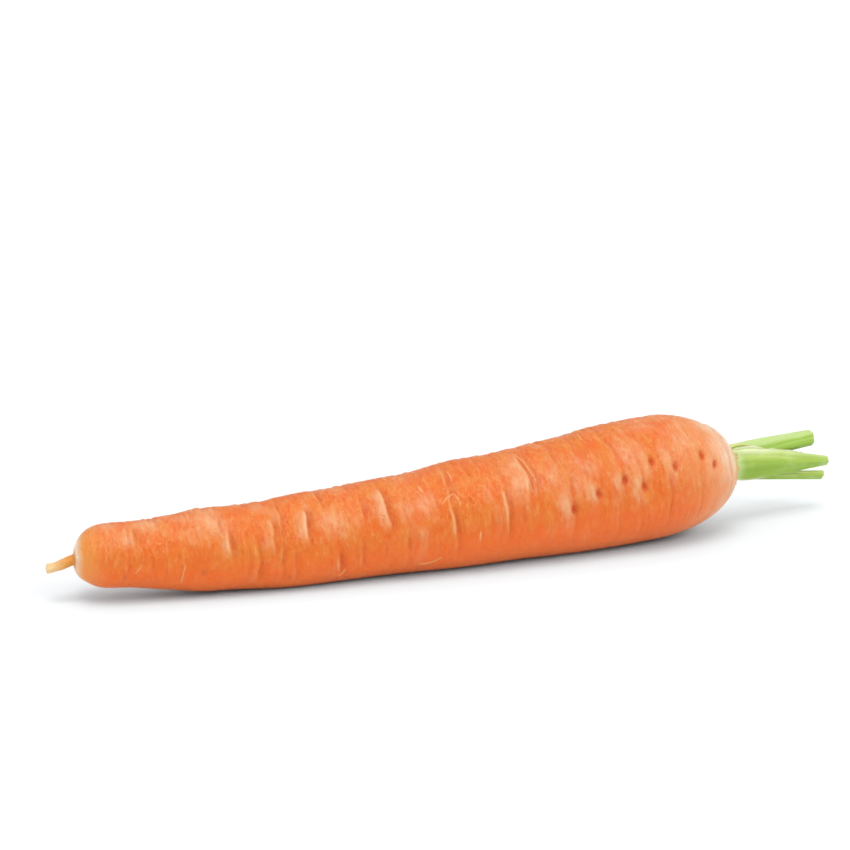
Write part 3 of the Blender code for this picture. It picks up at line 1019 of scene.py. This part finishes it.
fibre, given, put_out = new_group("stalk_fibres", (
    ("Light", "Color", "INPUT"), ("Dark", "Color", "INPUT"), ("Colour", "Color", "OUTPUT"),
    ("Height", "Float", "OUTPUT"), ("Roughness", "Float", "OUTPUT")))
light, dark = given["Light"], given["Dark"]
stripes = stretched_noise(fibre, (50, 1500, 1500), 4.0, 0.6)
blush = stretched_noise(fibre, (160, 500, 500), 2.0, 0.5)
tone = mix(fibre, between(fibre, stripes, 0.3, 0.7), dark, light)
tone = paint_over(fibre, tone, (
    (times(fibre, mask(fibre, "rib"), 0.30), light),
    (times(fibre, mask(fibre, "furrow"), 0.35), dark),
    # painted shade: a deeper green on the underside
    (times(fibre, mask(fibre, "under"), 0.7), UNDERSIDE_SHADE_GREEN),
    (times(fibre, between(fibre, blush, 0.5, 0.8), 0.35), STALK_CREAM),
    # whitish towards the crown, and painted light on the upper side and the top edge
    (mask(fibre, "pale"), STALK_CREAM),
    (mask(fibre, "sheath"), SHEATH_CREAM),
    (mask(fibre, "cut"), CUT_CREAM),
    (mask(fibre, "dry"), DRY_BROWN),
))
dull = place(fibre, "MapRange", {"Value": blush, "To Min": 0.34, "To Max": 0.5}).outputs[0]
fill(fibre, put_out, {"Colour": tone, "Height": stripes, "Roughness": dull})


def stalk_material(name, light, dark):
    """A material that gives the fibre group its greens."""
    made, tree, shader = new_material(name)
    group = place(tree, "Group", {"Light": light, "Dark": dark}, node_tree=fibre)
    bounced = place(tree, "LightPath").outputs["Is Diffuse Ray"]
    fill(tree, shader, {
        "Base Color": mix(tree, times(tree, bounced, 0.7), group.outputs["Colour"], BOUNCE_GREY),
        "Roughness": group.outputs["Roughness"],
        "Normal": bump(tree, group.outputs["Height"], 0.4, 0.0001),
        "Specular IOR Level": 0.45, "Subsurface Weight": 0.15, "Subsurface Scale": 0.0015,
        "Subsurface Radius": (0.6, 1.0, 0.25),
    })
    return made


stalk_finishes = {node: stalk_material(node + "_fresh", light, dark)
                  for node, (slot, light, dark) in GREENS.items()}
print(len(stalk_finishes), "stalk finishes")

# %% [markdown]
# ## The leaf stalks
#
# Each stalk keeps the solid's course, size, hollow and slanted cut. The finer mesh adds ribs
# that wander a little, and a cut face of its own: a firm rim around a pith that dried and sank
# a little after the cut. At the other end the stalk closes inside the crown's heart. The dry
# stub bends over, as a withered stalk does.

# %% Grow the leaf stalks
STALK_SIDES = 96
BASE_RINGS = 4
SHAFT_RINGS = 110
CUT_SHRINKS = (0.99, 0.96, 0.90, 0.80, 0.65, 0.5, 0.3, 0.15, 0.0)
FINE_RIBS = 11
THIN_STALK_RIBS = 7
THIN_STALK = 0.002
FINE_RIB_SHARE = 0.012
UNEVEN_SHARE = 0.03
PITH_SINK = 0.00018
PITH_GRAIN = 0.00009
STUB_ARCH = 0.0008
WIDE_SHEATH = 0.003
NOISE_STEP = 0.05

shaft = np.linspace(0, 1, SHAFT_RINGS) ** 0.9
shares = np.concatenate([np.zeros(BASE_RINGS), shaft, np.ones(len(CUT_SHRINKS))])
shrinks = np.concatenate([np.linspace(0, 0.9, BASE_RINGS), np.ones(SHAFT_RINGS), CUT_SHRINKS])
in_cut = np.repeat((0.0, 0.5, 1.0), (BASE_RINGS + SHAFT_RINGS - 1, 1, len(CUT_SHRINKS)))


def stalk_form(name, number):
    """A form for roll_up: one stalk, with the coordinates and masks that its finish reads."""
    stalk = STALKS[name]
    size = 0.25 * sum(stalk["end_size"])
    fine_ribs = FINE_RIBS if stalk["end_size"][1] > THIN_STALK else THIN_STALK_RIBS
    underside_shade_share = 0.3 if name == "petiole_upper" else 1.0
    stub_share = 1.0 if name == "petiole_stub" else 0.0
    sheath_share = 0.8 if stalk["sheath"] > WIDE_SHEATH else 0.0

    def form(ring, angle):
        """Points, coordinates and masks of the stalk."""
        share, shrink, cut = shares[ring], shrinks[ring], in_cut[ring]
        grown = np.stack([share * stalk["length"], size * shrink * np.cos(angle),
                          size * shrink * np.sin(angle)], axis=-1) + NOISE_STEP * number
        wander = 0.35 * soft_noise(grown, (0.009, 0.0015), 8)
        ridge = np.cos(fine_ribs * (angle + 0.15 * wander))
        lumps = soft_noise(grown, (0.006, 0.0015), 9)
        ribs = (FINE_RIB_SHARE * ridge + UNEVEN_SHARE * lumps) * smooth(8 * share + 0.2)
        pith = smooth((0.93 - shrink) / 0.3) * cut
        sink = PITH_SINK * pith + PITH_GRAIN * cut * soft_noise(grown, (0.001, 0.0006), 10)
        arch = stub_share * STUB_ARCH * (np.sin(np.pi * share) - 1.2 * share ** 2)
        points = stalk_point(stalk, share, angle, shrink, ribs, sink) + SHIFT
        points += arch[:, None] * SEAT[3]
        skyward = np.sin(angle + radians(stalk["facing"]))
        edge = smooth((np.abs(np.sin(angle)) - 0.90) / 0.10) * smooth((0.80 - share) / 0.3)
        on_sheath = smooth((np.sin(angle) + 0.1 * lumps - 0.55) / 0.4)
        on_sheath *= smooth((share - 0.02) / 0.12) * smooth((0.50 - share) / 0.22)
        # painted shade on the side that faces down
        under = smooth((0.50 - skyward + 0.3 * lumps) / 0.8) * smooth(share / 0.25)
        masks = {
            "rib": smooth(ridge), "furrow": smooth(-ridge), "under": underside_shade_share * under,
            "sheath": sheath_share * on_sheath, "cut": cut * (0.6 + 0.4 * pith),
            # whitish towards the crown; the rest is painted light on the upper side and the top
            # edge
            "pale": np.maximum(0.7 * smooth((0.16 - share) / 0.12),
                               0.75 * edge * (skyward > 0) + 0.5 * smooth((skyward - 0.5) / 0.5)),
            "dry": stub_share * smooth((share - 0.82) / 0.1),
        }
        return points, grown, masks

    return form


for number, name in enumerate(STALKS):
    mesh = bmesh.new()
    roll_up(mesh, len(shares) - 1, STALK_SIDES, stalk_form(name, number))
    finish(name + "_grown", mesh, stalk_finishes[name], name)

# %% [markdown]
# ## Sheath edges
#
# Near the crown the widest stalk ends at both sides in a thin cream membrane, which wrapped its
# younger neighbours while they grew. It is too thin for the solid. A strip of grid follows the
# stalk's edge and reaches a little past it, torn at one place and gently ruffled, and solidify
# gives it the thickness of paper.

# %% Grow the sheath edges
MEMBRANE_THICKNESS = 0.00012
MEMBRANE_GREEN = colour(214, 224, 156)
MEMBRANE_CREAM = colour(242, 238, 204)
VEIN_GREEN = colour(184, 204, 108)
STRIP_GRID = (90, 7)
STRIP_ROOTED = 0.94
# A strip's side of the stalk in degrees, start, stop and reach as shares, and its seed
SHEATH_STRIPS = (
    (90, 0.02, 0.37, 0.19, 1.0),
    (90, 0.39, 0.78, 0.13, 2.0),
    (-90, 0.04, 0.40, 0.08, 3.0),
)

membrane, tree, shader = new_material("sheath_membrane")
veins = stretched_noise(tree, (90, 2400, 2400), 2.0, 0.5)
tone = mix(tree, mask(tree, "rim"), MEMBRANE_GREEN, MEMBRANE_CREAM)
tone = mix(tree, times(tree, between(tree, veins, 0.5, 0.8), 0.5), tone, VEIN_GREEN)
fill(tree, shader, {"Base Color": tone, "Normal": bump(tree, veins, 0.4, 0.0001),
                    "Roughness": 0.5, "Subsurface Weight": 0.2, "Subsurface Scale": 0.001})

mesh = bmesh.new()
grown = mesh.verts.layers.float_vector.new("grown")
rim_layer = mesh.verts.layers.float.new("rim")
for turn, start, stop, reach, seed in SHEATH_STRIPS:
    bmesh.ops.create_grid(mesh, x_segments=STRIP_GRID[0], y_segments=STRIP_GRID[1], size=1)
    made = list(mesh.verts)[-(STRIP_GRID[0] + 1) * (STRIP_GRID[1] + 1):]
    flat = np.array([vert.co[:2] for vert in made])
    along, across = (flat[:, 0] + 1) / 2, (flat[:, 1] + 1) / 2
    share = start + (stop - start) * along
    wave = soft_noise(np.stack([along, across * 0.2, 0 * along], axis=-1), (0.22, 0.8), seed)
    past_edge = reach * np.sin(np.pi * along) ** 0.45 * (1 + 0.5 * wave)
    bent = radians(turn) + 0.16 * across * wave * np.sign(turn)
    stretch = STRIP_ROOTED + (1 - STRIP_ROOTED + past_edge) * across
    points = stalk_point(STALKS["petiole_middle"], share, bent, stretch) + SHIFT
    for vert, point, place_in, high in zip(made, points.tolist(), flat, across):
        vert.co = point
        vert[grown] = (0.03 * place_in[0], 0.001 * place_in[1], 0.01 * seed)
        vert[rim_layer] = high ** 2
bmesh.ops.solidify(mesh, geom=mesh.faces[:], thickness=MEMBRANE_THICKNESS)
finish("sheath_edges", mesh, membrane)

# %% [markdown]
# ## Rootlets
#
# A few hair-thin side roots stay stuck to the skin after washing, pale against the orange. Each
# is a thin tube that follows a line over the finished skin. The line is given by a few places
# along the root in millimetres and around it in degrees, with a thickness for each line, and is
# rounded by cutting its corners. The tube is half sunk, so it looks grown on.

# %% Grow the rootlets
ROOTLET_LINES = (
    (((95.8, 31), (98.5, 40), (100.2, 43), (100.9, 35), (101.4, 26)), 0.16),
    (((91.6, 62), (92.0, 56), (92.3, 50)), 0.18),
    (((78.9, 37), (80.4, 31), (81.6, 23)), 0.15),
    (((105.8, -4), (105.5, -10), (105.6, -16)), 0.20),
    (((89.4, -39), (91.5, -41), (93.3, -38), (95.8, -32)), 0.20),
    (((67.4, -46), (68.6, -40), (69.3, -32)), 0.15),
    (((101.1, 76), (101.3, 66), (100.9, 57)), 0.13),
    (((121.2, 86), (122.0, 68), (122.4, 53), (123.2, 36)), 0.15),
    (((120.0, 70), (120.6, 57), (121.0, 44), (121.7, 25)), 0.14),
    (((33.9, 45), (35.4, 43), (36.5, 38), (37.3, 31)), 0.14),
    (((16.2, -1), (15.6, -9), (14.5, -19)), 0.14),
    (((27.2, -2), (26.6, -22), (26.5, -40)), 0.11),
    (((141.8, 92), (141.3, 84), (141.0, 76)), 0.15),
)
MORE_ROOTLETS = 22
ROOTLET_RINGS = 24
ROOTLET_SIDES = 8
ROOTLET_RADIUS = 0.0022
ROOTLET_SUNK = 0.55
CORNER_CUTS = 3
ROOTLET_ORANGE = colour(234, 138, 72)
ROOTLET_PEACH = colour(240, 168, 108)


def rounded(path):
    """The same line with its corners cut, a few times over."""
    path = np.array(path, dtype=float)
    for _ in range(CORNER_CUTS):
        cut = np.stack([0.75 * path[:-1] + 0.25 * path[1:], 0.25 * path[:-1] + 0.75 * path[1:]], 1)
        path = np.concatenate([path[:1], cut.reshape(-1, 2), path[-1:]])
    return path


def rootlet_form(path, thickness):
    """A form for roll_up: a tube that lies along a line on the skin."""
    steps = np.linspace(0, len(path) - 1, ROOTLET_RINGS + 1)
    along = 0.001 * np.interp(steps, np.arange(len(path)), path[:, 0])
    angle = np.radians(np.interp(steps, np.arange(len(path)), path[:, 1]))
    line = skin_point(along, angle, -ROOTLET_SUNK * thickness)
    outward = to_length_one(line - SHIFT - axis_frame(along)[0])
    aside = to_length_one(np.cross(np.gradient(line, axis=0), outward))
    size = thickness * np.sin(np.pi * np.linspace(0, 1, ROOTLET_RINGS + 1)) ** 0.4

    def form(ring, turn):
        """Points of the tube."""
        points = line[ring] + (size[ring] * np.cos(turn))[:, None] * outward[ring]
        points += (size[ring] * np.sin(turn))[:, None] * aside[ring]
        return points, points, {}

    return form


rootlet_finish, tree, shader = new_material("rootlet_fibre")
fuzz = stretched_noise(tree, (900, 900, 900), 3.0, 0.6)
tone = mix(tree, between(tree, fuzz, 0.3, 0.7), ROOTLET_ORANGE, ROOTLET_PEACH)
fill(tree, shader, {"Base Color": tone, "Normal": bump(tree, fuzz, 0.5, 0.0001),
                    "Roughness": 0.6})

mesh = bmesh.new()
lines = list(ROOTLET_LINES)
for number in range(MORE_ROOTLETS):
    along, turn = draw.uniform(20, 165), draw.uniform(75, 230)
    lean, swing = draw.uniform(-2.5, 2.5), draw.uniform(8, 26)
    lines.append((((along, turn), (along + 0.3 * lean, turn + 0.5 * swing),
                   (along + lean, turn + swing)), draw.uniform(0.11, 0.18)))
for path, thickness in lines:
    form = rootlet_form(rounded(path), ROOTLET_RADIUS * thickness)
    roll_up(mesh, ROOTLET_RINGS, ROOTLET_SIDES, form)
finish("rootlets", mesh, rootlet_finish)

# %% [markdown]
# ## Scales of the crown
#
# Inside the collar stand the dry stubs of the oldest leaves, small papery scales, straw-coloured
# and tan at their torn ends. They close the gap between the skin and the green stalks. Each is a
# small strip of grid, curved round the collar and leaning a little outwards, and again made
# solid.

# %% Grow the crown's scales
SCALE_COUNT = 26
SCALE_GRID = (8, 8)
SCALE_SUNK = 0.0003
SCALE_RUFFLE = 0.0001
SCALE_STRAW = colour(226, 216, 156)
SCALE_TAN = colour(204, 176, 108)
SCALE_PAPER = colour(240, 230, 184)

scale_finish, tree, shader = new_material("dry_scale")
paper = stretched_noise(tree, (400, 2600, 2600), 3.0, 0.6)
tone = mix(tree, mask(tree, "rim"), SCALE_STRAW, SCALE_TAN)
tone = mix(tree, times(tree, between(tree, paper, 0.5, 0.75), 0.7), tone, SCALE_PAPER)
fill(tree, shader, {"Base Color": tone, "Normal": bump(tree, paper, 0.6, 0.0001),
                    "Roughness": 0.65})

mesh = bmesh.new()
grown = mesh.verts.layers.float_vector.new("grown")
rim_layer = mesh.verts.layers.float.new("rim")
centre, forward, front, up = axis_frame(np.array(DOME_END))
for number in range(SCALE_COUNT):
    around = 2 * np.pi * (number + draw.uniform(-0.3, 0.3)) / SCALE_COUNT
    half_width, tall = draw.uniform(0.12, 0.30), draw.uniform(0.0009, 0.0020)
    lean, inset = draw.uniform(0.0, 0.30), draw.uniform(0.0050, 0.0060)
    bmesh.ops.create_grid(mesh, x_segments=SCALE_GRID[0], y_segments=SCALE_GRID[1], size=1)
    made = list(mesh.verts)[-(SCALE_GRID[0] + 1) * (SCALE_GRID[1] + 1):]
    for vert in made:
        side, high = vert.co.x, (vert.co.y + 1) / 2
        angle = around + half_width * side * (1 - 0.55 * high ** 1.5)
        ragged = 0.8 + 0.35 * noise.noise((3 * side, number, 0.5))
        ruffle = SCALE_RUFFLE * noise.noise((4 * side, 3 * high, number))
        radius = inset + lean * tall * high ** 2 + ruffle
        out = cos(angle) * front + sin(angle) * up
        vert.co = centre + radius * out + (tall * ragged * high - SCALE_SUNK) * forward + SHIFT
        vert[grown] = (0.002 * high, 0.001 * side, 0.01 * number)
        vert[rim_layer] = high ** 2
bmesh.ops.solidify(mesh, geom=mesh.faces[:], thickness=MEMBRANE_THICKNESS)
finish("crown_scales", mesh, scale_finish)
